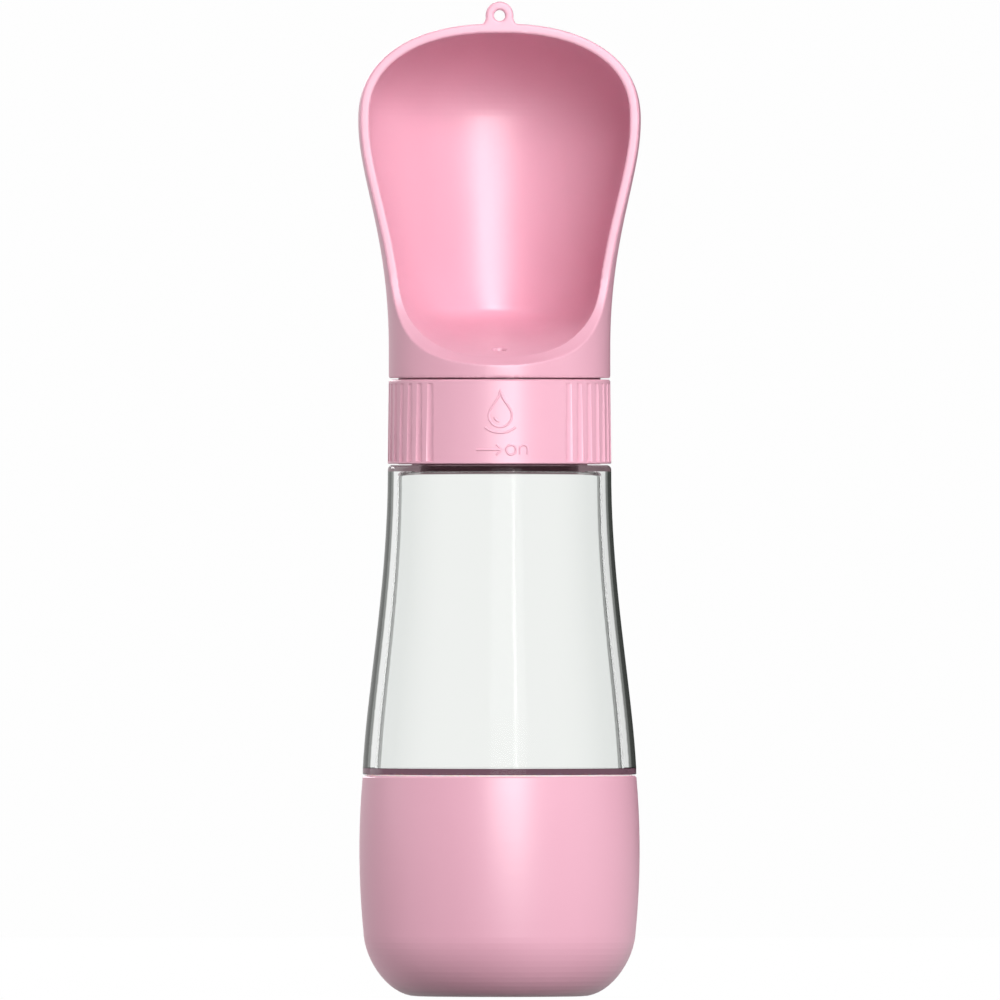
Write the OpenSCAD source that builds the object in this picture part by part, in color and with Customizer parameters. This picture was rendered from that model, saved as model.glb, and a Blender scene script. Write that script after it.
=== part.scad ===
// Dog travel water bottle, in millimetres.
// A food box screws on under a clear water reservoir. A drinking trough screws on above it,
// with a switch collar between them that turns to let the water into the trough.
// +Z is up, the origin is the middle of the base, and the trough opens towards -Y.

/* [Food box] */
// Height of the food box
box_h = 55.2; // [50:0.1:70]
// Largest outer radius of the food box
box_r = 35.1; // [34:0.1:42]
// Depth of the widest place below the rim
belly_drop = 18.7; // [12:0.1:24]
// Radius of the side's slow bulge, seen from the side
bulge_r = 210; // [150:1:400]
// Radius of the flat foot
foot_r = 20.8; // [16:0.1:24]
// Height at which the round foot corner meets the side
corner_h = 15; // [12:0.1:18]
// How far the foot corner runs out flat and up straight before it turns
corner_pull = 6.7; // [5:0.1:8]
// Depth of the hollow under the foot
foot_recess = 0.6; // [0.3:0.1:1]
// Width of the ring that the box stands on
foot_ring_w = 4; // [2:0.1:6]
// Wall of the food box
box_wall = 2.2; // [1.6:0.1:2.6]
// Wall of the food box at its screwed rim
rim_wall = 3.4; // [3:0.1:4]
// Height of the screwed rim
rim_band = 11.2; // [10.8:0.1:16]

/* [Reservoir] */
// Height of the clear shell, from its floor plate to its shoulder
shell_h = 75.9; // [60:0.1:110]
// Outer radius of the shell under its shoulder
shell_top_r = 28; // [27.8:0.1:30]
// How far the foot of the shell's side leans in, as a handle of its curve
foot_lean = 1.1; // [0:0.1:3]
// Length of the curve's handle at the foot
foot_handle = 20.5; // [10:0.1:25]
// Length of the curve's handle under the shoulder
top_handle = 29; // [15:0.1:30]
// Wall of the shell at its foot
shell_foot_wall = 3.6; // [2.4:0.1:4]
// Wall of the shell under its shoulder
shell_top_wall = 2.8; // [2:0.1:3.2]
// Thickness of the shoulder
shoulder_t = 1.6; // [1.2:0.1:2.4]
// Outer edge radius of the shoulder
shoulder_edge = 1.2; // [0.6:0.1:1.8]
// Inner corner radius of the shoulder
shoulder_fillet = 1.5; // [0.8:0.1:2]
// Wall of the neck
neck_wall = 2.2; // [1.6:0.1:3]
// Thickness of the reservoir's floor plate
floor_t = 1.6; // [1.2:0.1:2.4]
// Depth of the screwed spigot under the floor plate
spigot_h = 9.5; // [8:0.1:10.4]
// Wall of the spigot
spigot_wall = 2.2; // [1.6:0.1:3]

/* [Switch collar] */
// Height of the collar
collar_h = 21.1; // [19:0.1:26]
// Wall of the collar at its top
collar_wall = 2.15; // [1.9:0.05:2.6]
// Thickness of the valve web across the collar
web_t = 2; // [1.5:0.1:3]
// Angle that the collar turns from OFF to ON
switch_angle = 60; // [50:1:70]
// Half the angle of the plain panel at the front
panel_angle = 38.6; // [30:0.1:45]
// Angle from one grip flute to the next
flute_pitch = 7.5; // [6:0.5:12]
// Grip flutes on each side of the panel
flute_count = 14; // [6:1:16]
// Radius of a grip flute
flute_r = 1.6; // [1:0.1:2.4]
// Depth of a grip flute
flute_depth = 0.3; // [0.2:0.05:0.45]
// Plain band above the flutes
flute_top_band = 1; // [0.6:0.1:2]
// Plain band below the flutes
flute_foot_band = 0.6; // [0.4:0.1:2]

/* [Trough] */
// Height of the trough, from its skirt to its crown
trough_h = 88.7; // [80:0.1:100]
// Outer radius of the skirt, flush with the collar
skirt_r = 27.75; // [27:0.05:28]
// Largest half width of the trough
trough_half_w = 35.4; // [32:0.1:38]
// Height of the widest place above the skirt's edge
wide_h = 64.4; // [58:0.1:68]
// Height at which the straight skirt starts to flare
straight_h = 7.8; // [5:0.1:10]
// Handle of the flare's curve at the skirt
flare_foot = 28.2; // [20:0.1:32]
// Handle of the flare's curve at the widest place
flare_top = 14.4; // [8:0.1:20]
// How far the back stands out beyond the skirt
back_bulge = 1.75; // [0:0.05:3]
// Roundness of the crown, seen from the front: 2 is an ellipse
crown_power = 2.3; // [2:0.05:2.8]
// Distance of the rim's upright plane in front of the axis
rim_front = 8.9; // [7:0.1:12]
// How far the widest place stands forward of the axis
wide_set = 3; // [0:0.1:5]
// Height of the lip above the skirt's edge
lip_h = 3.2; // [3:0.1:5]
// Height at which the floor has turned up into the back
bend_h = 18; // [17:0.1:24]
// Height at which the rim has become upright
rim_upright_h = 26; // [24:0.1:36]
// Wall of the trough
trough_wall = 2; // [1.6:0.1:2.6]
// Wall of the trough at its crown
crown_wall = 2.4; // [1.8:0.1:3]
// Radius of the hole that lets the water into the trough
outlet_r = 1.75; // [1.2:0.05:2]

/* [Lanyard eye] */
// Outer radius of the eye
eye_r = 3.5; // [3:0.1:4.5]
// Radius of the hole in the eye
eye_hole_r = 1.4; // [1:0.1:2]
// Thickness of the eye
eye_t = 3; // [2:0.1:4]
// Height of the hole's middle above the crown
eye_rise = 2; // [1.6:0.1:2.4]

/* [Valve and closures] */
// Room between the threads' roots at the neck
neck_thread_room = 1.5; // [1.3:0.05:1.8]
// Room between the threads' roots at the food box
box_thread_room = 1.6; // [1.4:0.05:1.9]
// Wall of the neck cap's skirt
cap_wall = 1.8; // [1.7:0.1:2.2]
// Thickness of the neck cap's plate
plate_t = 2.6; // [2.4:0.1:3.4]
// Thickness of the trough's base plate
base_t = 3.2; // [3.1:0.1:4]
// Distance of the water ports from the axis
port_offset = 16; // [15:0.1:16.4]
// Radius of the water port through the cap and the web
port_r = 2.5; // [2:0.1:2.8]
// Radial thickness of the seals round the port
port_seal_w = 1.7; // [1.3:0.1:1.8]
// Depth of the pocket that holds a port seal
pocket_d = 1.4; // [1:0.1:1.6]
// Thickness of the seal on the neck
neck_seal_t = 1.5; // [1:0.1:2]
// Thickness of the seal under the trough's outlet
outlet_seal_t = 0.9; // [0.6:0.1:1.1]
// Radial width of the seal in the food box's rim
rim_seal_w = 1.4; // [1:0.1:1.5]
// Depth of the groove in the food box's rim
rim_groove_d = 0.9; // [0.7:0.1:1.4]
// Wire diameter of the collar's two O-rings
o_ring_d = 1.2; // [1:0.05:1.3]
// Wire diameter of the hub's O-ring
hub_ring_d = 0.9; // [0.8:0.05:1]
// Radius of the hub that the web turns on
hub_r = 5; // [4.5:0.1:6]
// Radius of the hub screw's shank
screw_r = 1.5; // [1.25:0.05:1.7]
// Length of the hub screw's shank
screw_len = 12; // [10:0.1:12.2]
// Radius of the hub screw's head
screw_head_r = 3; // [2.8:0.1:3.4]
// Height of the hub screw's head
screw_head_h = 1.8; // [1.6:0.1:2.2]
// Radius of the washer under the screw's head
washer_r = 4; // [3.8:0.1:4.8]
// Thickness of the washer
washer_t = 0.6; // [0.4:0.1:1]

/* [Clearances] */
// Seam between the food box and the reservoir
box_seam = 0.3; // [0.2:0.05:0.6]
// Groove between the reservoir's shoulder and the collar
shoulder_gap = 0.3; // [0.25:0.05:0.5]
// Groove between the collar and the trough
trough_gap = 0.4; // [0.3:0.05:0.6]
// Gap above and below the web
web_gap = 0.4; // [0.3:0.05:0.5]
// Radial gap between the collar and what it turns on
turn_gap = 0.3; // [0.25:0.05:0.4]
// Radial gap of pieces that are pushed together
push_gap = 0.15; // [0.1:0.05:0.2]
// Radial gap between a ring and its groove
ring_gap = 0.1; // [0.05:0.05:0.15]

/* [Hidden] */
$fn = 96;

pink = "#f0b4c6";
deep_pink = "#e79db4";
clear_plastic = [0.92, 0.95, 0.94, 0.35];
silicone = "#f4f1ec";
steel = "#b9bcc0";

edge = 0.4;           // small edge breaks
far = 200;            // beyond everything, for cutting
ring_steps = 60;      // points round a section of the trough

// Heights, from the ground up
z_floor = box_h + box_seam;
z_shell = z_floor + floor_t;
z_shoulder = z_shell + shell_h;
z_collar = z_shoulder + shoulder_gap;
z_collar_top = z_collar + collar_h;
z_trough = z_collar_top + trough_gap;
base_lap = 0.4;       // how far the base plate reaches into the trough's skirt
z_base_top = z_trough + base_lap;
z_base = z_base_top - base_t;
z_web_top = z_base - web_gap;
z_web = z_web_top - web_t;
z_plate_top = z_web - web_gap;
z_plate = z_plate_top - plate_t;
z_neck_top = z_plate - neck_seal_t;
cap_foot_gap = 0.2;   // between the cap's skirt and the shoulder
z_cap = z_shoulder + cap_foot_gap;

// Radii, from the outside in
collar_bore_r = skirt_r - collar_wall;
core_r = collar_bore_r - turn_gap;
cap_bore_r = core_r - cap_wall;
neck_r = cap_bore_r - neck_thread_room;
neck_bore_r = neck_r - neck_wall;
skirt_bore_r = core_r + push_gap;

// Food box and the spigot that it screws onto
belly_z = box_h - belly_drop;
function box_side_r(z) = box_r - pow(z - belly_z, 2) / (2 * bulge_r);
function box_side_lean(z) = (belly_z - z) / bulge_r;
box_rim_r = box_side_r(box_h);
rim_bore_r = box_rim_r - rim_wall;
spigot_r = rim_bore_r - box_thread_room;
rim_groove_r = (rim_bore_r + box_rim_r) / 2;
corner_share = 0.55;  // an inner corner's handles are this share of the wall shorter

// Valve
front = -90;
sink = 0.01;          // pieces of one solid reach this far into each other
port_seal_r = port_r + port_seal_w;
stop_r = port_offset + 4.3;
stop_pin_r = 1.2;
stop_slot_r = stop_pin_r + 0.3;
stop_pin_reach = 0.7; // how far the stop pin reaches into its slot
stop_start = 90 - switch_angle / 2;
ring_groove_h = o_ring_d + 2 * ring_gap;
ring_r = core_r - o_ring_d / 2 + turn_gap - ring_gap;
ring_groove_r = ring_r - o_ring_d / 2 - ring_gap;
hub_hole_r = hub_r + turn_gap;
hub_ring_r = hub_hole_r - ring_gap - hub_ring_d / 2;

// ---- Curves -------------------------------------------------------------------------------

function bezier(p, t) = pow(1 - t, 3) * p[0] + 3 * t * pow(1 - t, 2) * p[1]
    + 3 * t * t * (1 - t) * p[2] + pow(t, 3) * p[3];

function bezier_points(p, steps) = [for (i = [0 : steps]) bezier(p, i / steps)];

// A quarter turn of radius r about c, from angle a to angle b
function arc_points(c, r, a, b, steps) =
    [for (i = [0 : steps]) c + r * [cos(a + (b - a) * i / steps), sin(a + (b - a) * i / steps)]];

function clamp(u) = max(0, min(1, u));
function smooth(u) = let (c = clamp(u)) c * c * (3 - 2 * c);

// The height of a superellipse of the given power, at the share u of its half width
function round_off(u, power) = pow(1 - pow(clamp(u), power), 1 / power);

// Where a curve that climbs in its second value passes height h, found by halving
function curve_at(p, h, low = 0, high = 1, steps = 24) =
    let (mid = (low + high) / 2)
    steps == 0 ? bezier(p, mid)[0]
    : bezier(p, mid)[1] < h ? curve_at(p, h, mid, high, steps - 1)
    : curve_at(p, h, low, mid, steps - 1);

// ---- Plain forms between two heights -------------------------------------------------------

module column(r, low, high) {
    translate([0, 0, low]) cylinder(r = r, h = high - low);
}

module ring(outer_r, inner_r, low, high) {
    difference() {
        column(outer_r, low, high);
        column(inner_r, low - 1, high + 1);
    }
}

// ---- Food box -----------------------------------------------------------------------------

// The foot corner's curve, inset by the wall
function corner_curve(wall) =
    let (pull = corner_pull - corner_share * wall)
    [[foot_r, wall], [foot_r + pull, wall],
     [box_side_r(corner_h) - wall - box_side_lean(corner_h) * pull, corner_h - pull],
     [box_side_r(corner_h) - wall, corner_h]];

// The side's curve between two heights, inset by the wall
function side_points(wall, low, high, steps) =
    [for (i = [1 : steps]) let (z = low + (high - low) * i / steps) [box_side_r(z) - wall, z]];

module food_box_profile() {
    ring_in = foot_r - foot_ring_w;
    z_band = box_h - rim_band;
    slope = box_side_r(z_band) - box_wall - rim_bore_r;
    half = rim_seal_w / 2 + ring_gap;
    outer = concat(
        [[0, foot_recess], [ring_in, foot_recess], [ring_in + foot_recess, 0]],
        bezier_points(corner_curve(0), 14),
        side_points(0, corner_h, box_h - edge, 10),
        [[box_rim_r - edge, box_h]]);
    rim = [
        [rim_groove_r + half, box_h], [rim_groove_r + half, box_h - rim_groove_d],
        [rim_groove_r - half, box_h - rim_groove_d], [rim_groove_r - half, box_h],
        [rim_bore_r + edge, box_h], [rim_bore_r, box_h - edge], [rim_bore_r, z_band + slope]];
    inner = concat(
        [[0, box_wall]],
        bezier_points(corner_curve(box_wall), 14),
        side_points(box_wall, corner_h, z_band, 8));
    polygon(concat(outer, rim, [for (i = [len(inner) - 1 : -1 : 0]) inner[i]]));
}

module food_box() {
    color(pink) rotate_extrude() food_box_profile();
}

module rim_seal() {
    color(silicone)
        ring(rim_groove_r + rim_seal_w / 2, rim_groove_r - rim_seal_w / 2,
            box_h - rim_groove_d, z_floor);
}

// ---- Reservoir ----------------------------------------------------------------------------

// The side of the shell, from its foot up, inset by a wall at the foot and one at the top
function shell_curve(foot_wall, top_wall, z_top) =
    [[box_rim_r - foot_wall, z_shell],
     [box_rim_r - foot_lean - foot_wall, z_shell + foot_handle],
     [shell_top_r - top_wall, z_top - top_handle],
     [shell_top_r - top_wall, z_top]];

module reservoir_profile() {
    inner_top = z_shoulder - shoulder_t;
    outer = concat(
        bezier_points(shell_curve(0, 0, z_shoulder - shoulder_edge), 22),
        arc_points([shell_top_r - shoulder_edge, z_shoulder - shoulder_edge],
            shoulder_edge, 0, 90, 5),
        [[neck_r, z_shoulder], [neck_r, z_neck_top - edge], [neck_r - edge, z_neck_top],
         [neck_bore_r, z_neck_top], [neck_bore_r, inner_top]]);
    fillet_c = [shell_top_r - shell_top_wall - shoulder_fillet, inner_top - shoulder_fillet];
    side = bezier_points(shell_curve(shell_foot_wall, shell_top_wall, fillet_c[1]), 22);
    polygon(concat(outer, arc_points(fillet_c, shoulder_fillet, 90, 0, 5),
        [for (i = [len(side) - 2 : -1 : 0]) side[i]]));
}

module reservoir() {
    color(clear_plastic) rotate_extrude() reservoir_profile();
}

module reservoir_floor() {
    color(clear_plastic) rotate_extrude() polygon([
        [0, z_floor], [spigot_r - spigot_wall, z_floor],
        [spigot_r - spigot_wall, z_floor - spigot_h], [spigot_r - edge, z_floor - spigot_h],
        [spigot_r, z_floor - spigot_h + edge], [spigot_r, z_floor],
        [box_rim_r - edge / 2, z_floor], [box_rim_r, z_floor + edge / 2], [box_rim_r, z_shell],
        [0, z_shell]]);
}

module neck_seal() {
    color(silicone) ring(cap_bore_r - turn_gap, neck_bore_r + ring_gap, z_neck_top, z_plate);
}

// ---- Neck cap, and what is clamped to it ---------------------------------------------------

// A round groove round the core, for an O-ring
module core_groove(z) {
    ring(core_r + 1, ring_groove_r, z - ring_groove_h / 2, z + ring_groove_h / 2);
}

module at_port(angle) {
    rotate(angle) translate([port_offset, 0, 0]) children();
}

lower_ring_z = z_cap + 3;
upper_ring_z = z_collar_top - ring_groove_h / 2 - 0.6;

module neck_cap() {
    boss_top = z_base;
    color(deep_pink) difference() {
        rotate_extrude() polygon([
            [0, z_plate], [cap_bore_r, z_plate], [cap_bore_r, z_cap + edge],
            [cap_bore_r + edge, z_cap], [core_r, z_cap], [core_r, z_plate_top - edge],
            [core_r - edge, z_plate_top], [hub_r, z_plate_top], [hub_r, boss_top],
            [0, boss_top]]);
        core_groove(lower_ring_z);
        hub_ring_groove();
        column(screw_r + ring_gap, z_plate - 1, boss_top + 1);
        at_port(front) {
            column(port_r, z_plate - 1, z_plate_top + 1);
            column(port_seal_r + ring_gap, z_plate_top - pocket_d, z_plate_top + 1);
        }
        stop_slot();
    }
}

module hub_ring_groove() {
    z = (z_web + z_web_top) / 2;
    high = hub_ring_d + 2 * ring_gap;
    ring(hub_r + 1, hub_ring_r - hub_ring_d / 2 - ring_gap, z - high / 2, z + high / 2);
}

// The slot that the collar's stop pin runs in
module stop_slot() {
    translate([0, 0, z_plate_top - pocket_d]) {
        rotate(stop_start) rotate_extrude(angle = switch_angle)
            translate([stop_r - stop_slot_r, 0]) square([2 * stop_slot_r, pocket_d + 1]);
        for (a = [stop_start, stop_start + switch_angle])
            rotate(a) translate([stop_r, 0, 0]) cylinder(r = stop_slot_r, h = pocket_d + 1);
    }
}

module port_seal(low, high) {
    color(silicone) at_port(front) ring(port_seal_r, port_r, low, high);
}

module lower_port_seal() {
    port_seal(z_plate_top - pocket_d, z_web);
}

module upper_port_seal() {
    port_seal(z_web_top, z_base + pocket_d);
}

module o_ring(middle_r, wire_d, z) {
    color(silicone) translate([0, 0, z]) rotate_extrude()
        translate([middle_r, 0]) circle(d = wire_d, $fn = 32);
}

module lower_o_ring() {
    o_ring(ring_r, o_ring_d, lower_ring_z);
}

module upper_o_ring() {
    o_ring(ring_r, o_ring_d, upper_ring_z);
}

module hub_o_ring() {
    o_ring(hub_ring_r, hub_ring_d, (z_web + z_web_top) / 2);
}

module screw_washer() {
    color(steel) ring(washer_r, screw_r + ring_gap, z_plate - washer_t, z_plate);
}

module hub_screw() {
    seat = z_plate - washer_t;
    slot_w = 0.9;
    color(steel) difference() {
        union() {
            column(screw_r, seat - sink, seat + screw_len);
            rotate_extrude() polygon([
                [0, seat - screw_head_h], [screw_head_r - 2 * edge, seat - screw_head_h],
                [screw_head_r, seat - screw_head_h + 2 * edge], [screw_head_r, seat],
                [0, seat]]);
        }
        for (a = [0, 90]) rotate(a) translate([0, 0, seat - screw_head_h])
            cube([1.3 * screw_head_r, slot_w, screw_head_h], center = true);
    }
}

// ---- Switch collar ------------------------------------------------------------------------

module switch_collar() {
    low_r = shell_top_r;
    flute_low = z_collar + flute_foot_band;
    flute_h = collar_h - flute_foot_band - flute_top_band;
    color(pink) difference() {
        union() {
            rotate_extrude() polygon([
                [collar_bore_r, z_collar], [low_r - edge / 2, z_collar], [low_r, z_collar + edge / 2],
                [skirt_r, z_collar_top - edge], [skirt_r - edge, z_collar_top],
                [collar_bore_r, z_collar_top], [collar_bore_r, z_web_top],
                [hub_hole_r, z_web_top], [hub_hole_r, z_web], [collar_bore_r, z_web]]);
            rotate(stop_start) translate([stop_r, 0, 0])
                column(stop_pin_r, z_plate_top - stop_pin_reach, z_web + sink);
        }
        at_port(front - switch_angle) column(port_r, z_web - 1, z_web_top + 1);
        for (side = [-1, 1], i = [0 : flute_count - 1])
            rotate(front + side * (panel_angle + i * flute_pitch))
                translate([skirt_r - flute_depth + flute_r, 0, flute_low])
                    cylinder(r = flute_r, h = flute_h, $fn = 24);
    }
}

// ---- Trough base --------------------------------------------------------------------------

boss_r = 4;           // the hub screw's boss
boss_cap = 1;         // how far the boss goes on past the screw's tip
tip_gap = 0.3;        // between the screw's tip and the end of its hole
upstand_w = 2;        // wall of the upstand that holds the trough's skirt
upstand_h = 6;
base_slope = 14;      // lean of the upstand's top edge, clear of the trough's floor
tube_wall = 1.25;
tube_r = outlet_r + tube_wall;
outlet_seal_r = tube_r + 0.7;
outlet_boss_r = outlet_seal_r + 0.7;
outlet_boss_h = 3.6;  // underside of the trough's outlet boss above the skirt's edge
outlet_boss_t = 3;    // height of the boss, up into the floor

module trough_base() {
    screw_top = z_plate - washer_t + screw_len;
    color(deep_pink) difference() {
        union() {
            rotate_extrude() polygon([
                [0, z_base], [core_r - edge, z_base], [core_r, z_base + edge],
                [core_r, z_base_top], [0, z_base_top]]);
            column(boss_r, z_base, screw_top + boss_cap);
            at_port(front)
                column(tube_r, z_base, z_trough + outlet_boss_h - outlet_seal_t);
            difference() {
                ring(core_r, core_r - upstand_w, z_base_top - 1, z_base_top + upstand_h);
                translate([0, -core_r, z_base_top]) rotate([base_slope, 0, 0])
                    translate([-far / 2, -far / 2, 0]) cube([far, far, far]);
            }
        }
        core_groove(upper_ring_z);
        column(screw_r + ring_gap / 2, z_base - 1, screw_top + tip_gap);
        at_port(front) {
            column(outlet_r, z_base - 1, z_trough + outlet_boss_h);
            column(port_seal_r + ring_gap, z_base - 1, z_base + pocket_d);
        }
    }
}

module outlet_seal() {
    top = z_trough + outlet_boss_h;
    color(silicone) at_port(front) ring(outlet_seal_r, outlet_r, top - outlet_seal_t, top);
}

// ---- Trough -------------------------------------------------------------------------------
// The trough is a scoop. Its outside and its hollow are both lofted through level sections,
// heights are measured from the skirt's edge, and the rim's side view cuts the front away.

lip_rise = 1.6;       // the floor starts this far above the lip
mouth_h = 25;         // height over which the mouth of the floor widens
mouth_power = 2.4;
mouth_set = 25;       // how far forward of the axis the floor starts
floor_mid = [4, 13];  // handle of the floor's curve: forward-back, height
floor_back_h = 12.5;  // height at which the floor runs into its bend
crown_h = trough_h - wide_h;
back_power = 2.2;
under_drop = 2.2;     // from the floor down to the hollow under it
under_back = 1.6;     // from the floor back to the hollow under it

flare = [[skirt_r, straight_h], [skirt_r, straight_h + flare_foot],
    [trough_half_w, wide_h - flare_top], [trough_half_w, wide_h]];

floor_line = [[-mouth_set, lip_h + lip_rise], floor_mid,
    [back_y(bend_h, trough_wall), floor_back_h], [back_y(bend_h, trough_wall), bend_h]];

rim_line = [[-skirt_r, lip_h], [-skirt_r + 9, lip_h + 3.2],
    [-rim_front, rim_upright_h - 11], [-rim_front, rim_upright_h]];

// How far the trough has flared at height h
function flared(h) = smooth((h - straight_h) / (wide_h - straight_h));

// Height of the crown above the widest place, for a shape inset by wall
function crown_rise(wall) = crown_h - wall * crown_wall / trough_wall;

// Share of the crown that height h has climbed
function crown_share(h, wall) = (h - wide_h) / crown_rise(wall);

// Half width, middle and back of a section at height h
function half_width(h, wall) =
    h <= straight_h ? skirt_r - wall
    : h <= wide_h ? curve_at(flare, h) - wall
    : (trough_half_w - wall) * round_off(crown_share(h, wall), crown_power);

function middle_y(h, wall) =
    -wide_set * flared(h) - (rim_front - wide_set) * smooth(crown_share(h, wall));

function back_y(h, wall) =
    let (deep = skirt_r - wall + back_bulge * flared(h))
    h <= wide_h ? deep
    : -rim_front + (deep + rim_front) * round_off(crown_share(h, wall), back_power);

// A level section: round at the front, and drawn out or in to the back
function section(half_w, mid_y, back, h) = [for (i = [0 : ring_steps - 1])
    let (a = 360 * i / ring_steps, deep = sin(a) > 0 ? back - mid_y : half_w)
    [half_w * cos(a), mid_y + deep * sin(a), h]];

// Heights of the crown's sections, closer together towards its top
function crown_heights(wall, steps) = [for (i = [1 : steps])
    wide_h + crown_rise(wall) * sin(90 * i / (steps + 0.35))];

function outer_sections() = [for (h = concat([-1, straight_h],
    [for (i = [1 : 11]) straight_h + (wide_h - straight_h) * i / 11], crown_heights(0, 11)))
    section(half_width(h, 0), middle_y(h, 0), back_y(h, 0), h)];

// How far the mouth of the floor has opened at height h
function mouth_share(h) = clamp((h - lip_h - lip_rise) / mouth_h);

function hollow_sections() = concat(
    [for (i = [0 : 16])
        let (p = bezier(floor_line, pow((i + 0.3) / 16.3, 1.3)), closed = 1 - mouth_share(p[1]))
        section(half_width(p[1], trough_wall) * round_off(closed, mouth_power),
            min(middle_y(p[1], trough_wall), -mouth_set * pow(closed, 1.7)), p[0], p[1])],
    [for (h = concat([for (i = [1 : 10]) bend_h + (wide_h - bend_h) * i / 10],
            crown_heights(trough_wall, 11)))
        let (closed = 1 - mouth_share(h))
        section(half_width(h, trough_wall) * round_off(closed, mouth_power),
            min(middle_y(h, trough_wall), -mouth_set * pow(closed, 1.7)),
            back_y(h, trough_wall), h)]);

module loft(sections) {
    n = len(sections[0]);
    last = len(sections) - 1;
    points = [for (s = sections) each s];
    sides = [for (k = [0 : last - 1], i = [0 : n - 1])
        let (a = k * n + i, b = k * n + (i + 1) % n) each [[a, a + n, b + n], [a, b + n, b]]];
    polyhedron(points, concat(sides, [[for (i = [0 : n - 1]) i]],
        [[for (i = [n - 1 : -1 : 0]) last * n + i]]));
}

// A side view, drawn forward-back and up, carried right across the trough
module across(points) {
    rotate([90, 0, 90]) translate([0, 0, -far / 2]) linear_extrude(far) polygon(points);
}

// What lies in front of the rim
module before_rim() {
    across(concat([[-far, lip_h]], bezier_points(rim_line, 16), [[-rim_front, far], [-far, far]]));
}

// The space under the floor, inside the skirt
module under_floor() {
    lowest = base_lap + 0.5;
    roof = [for (p = bezier_points(floor_line, 12)) [p[0] + under_back, p[1] - under_drop]];
    intersection() {
        across(concat([[-far, -far], [-far, lowest], [-skirt_bore_r, lowest]], roof,
            [[far, bend_h - under_drop], [far, -far]]));
        translate([0, 0, -1]) cylinder(r = skirt_bore_r, h = bend_h);
    }
}

module scoop() {
    difference() {
        union() {
            difference() {
                loft(outer_sections());
                translate([0, 0, -far]) cube([far, far, 2 * far], center = true);
                under_floor();
            }
            translate([0, -port_offset, outlet_boss_h])
                cylinder(r = outlet_boss_r, h = outlet_boss_t);
        }
        loft(hollow_sections());
        before_rim();
        translate([0, -port_offset, 0]) cylinder(r = outlet_r, h = bend_h, $fn = 32);
    }
}

module lanyard_eye() {
    root_w = eye_r + 0.75;
    rotate([90, 0, 0]) translate([0, 0, rim_front - eye_t]) linear_extrude(eye_t)
        difference() {
            union() {
                translate([0, trough_h + eye_rise]) circle(r = eye_r);
                polygon([[-root_w, trough_h - 0.5], [root_w, trough_h - 0.5],
                    [eye_r - 0.15, trough_h + eye_rise - 0.7],
                    [-eye_r + 0.15, trough_h + eye_rise - 0.7]]);
            }
            translate([0, trough_h + eye_rise]) circle(r = eye_hole_r);
        }
}

module trough() {
    color(pink) translate([0, 0, z_trough]) {
        resize([2 * trough_half_w, 0, 0]) scoop();
        lanyard_eye();
    }
}

trough();
outlet_seal();
trough_base();
upper_o_ring();
upper_port_seal();
switch_collar();
hub_o_ring();
lower_port_seal();
neck_cap();
lower_o_ring();
screw_washer();
hub_screw();
neck_seal();
reservoir();
reservoir_floor();
rim_seal();
food_box();
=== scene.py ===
"""Looks of a dog travel water bottle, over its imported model.

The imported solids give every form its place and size. This file dresses them,
puts a smooth moulded trough in place of the faceted one, and adds what the
solids leave out: the screw threads and the raised marks on the switch collar.
"""

from __future__ import annotations

import logging
import math
from contextlib import contextmanager
from dataclasses import dataclass
from enum import Enum
from typing import Any, Callable, Iterator, Mapping, Sequence

import bmesh
import bpy
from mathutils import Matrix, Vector

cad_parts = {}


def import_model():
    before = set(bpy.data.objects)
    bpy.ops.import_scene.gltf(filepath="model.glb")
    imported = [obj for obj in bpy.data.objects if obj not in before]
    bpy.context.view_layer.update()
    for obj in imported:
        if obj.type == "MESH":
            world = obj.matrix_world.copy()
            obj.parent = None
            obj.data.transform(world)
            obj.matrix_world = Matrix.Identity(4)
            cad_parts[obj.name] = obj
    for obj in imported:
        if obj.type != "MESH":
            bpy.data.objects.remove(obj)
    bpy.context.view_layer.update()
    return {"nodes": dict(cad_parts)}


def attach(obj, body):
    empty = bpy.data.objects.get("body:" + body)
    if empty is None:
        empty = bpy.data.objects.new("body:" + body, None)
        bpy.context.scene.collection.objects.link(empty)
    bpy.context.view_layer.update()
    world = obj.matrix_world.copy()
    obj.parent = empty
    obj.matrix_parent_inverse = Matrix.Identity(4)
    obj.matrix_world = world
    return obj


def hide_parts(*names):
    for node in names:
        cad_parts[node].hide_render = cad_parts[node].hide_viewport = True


LOG = logging.getLogger("dog_bottle")
MM = 0.001
TOUCH = 1e-4  # places no further apart than this, in millimetres, are the same
MERGE = 5e-4  # vertices no further apart than this are merged
ON_LEVEL = 1e-3  # how far off its level a section's point may lie

Pair = tuple[float, float]
Colour = tuple[float, float, float]
Point = tuple[float, float, float]
Curve = Sequence[Pair]
Material = bpy.types.Material
Node = bpy.types.Node
Socket = bpy.types.NodeSocket
Thing = bpy.types.Object


class Body(str, Enum):
    """The moving units of the bottle."""

    WATER = "water_unit"
    HEAD = "head_unit"
    SWITCH = "switch_unit"
    BOX = "box_unit"


class Slot(str, Enum):
    """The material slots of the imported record."""

    PINK = "pink_plastic"
    INNER = "inner_plastic"
    CLEAR = "clear_plastic"
    SILICONE = "silicone"
    STEEL = "steel"


# --- Curves ---


def bezier(handles: Curve, share: float) -> Pair:
    """Point of a cubic curve.

    Args:
        handles: The curve's two ends with its two handles between them.
        share: Where on the curve, from 0 to 1.

    Returns:
        The point.
    """
    rest = 1 - share
    weights = (rest**3, 3 * rest * rest * share, 3 * rest * share * share, share**3)
    return (
        sum(w * p[0] for w, p in zip(weights, handles)),
        sum(w * p[1] for w, p in zip(weights, handles)),
    )


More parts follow.
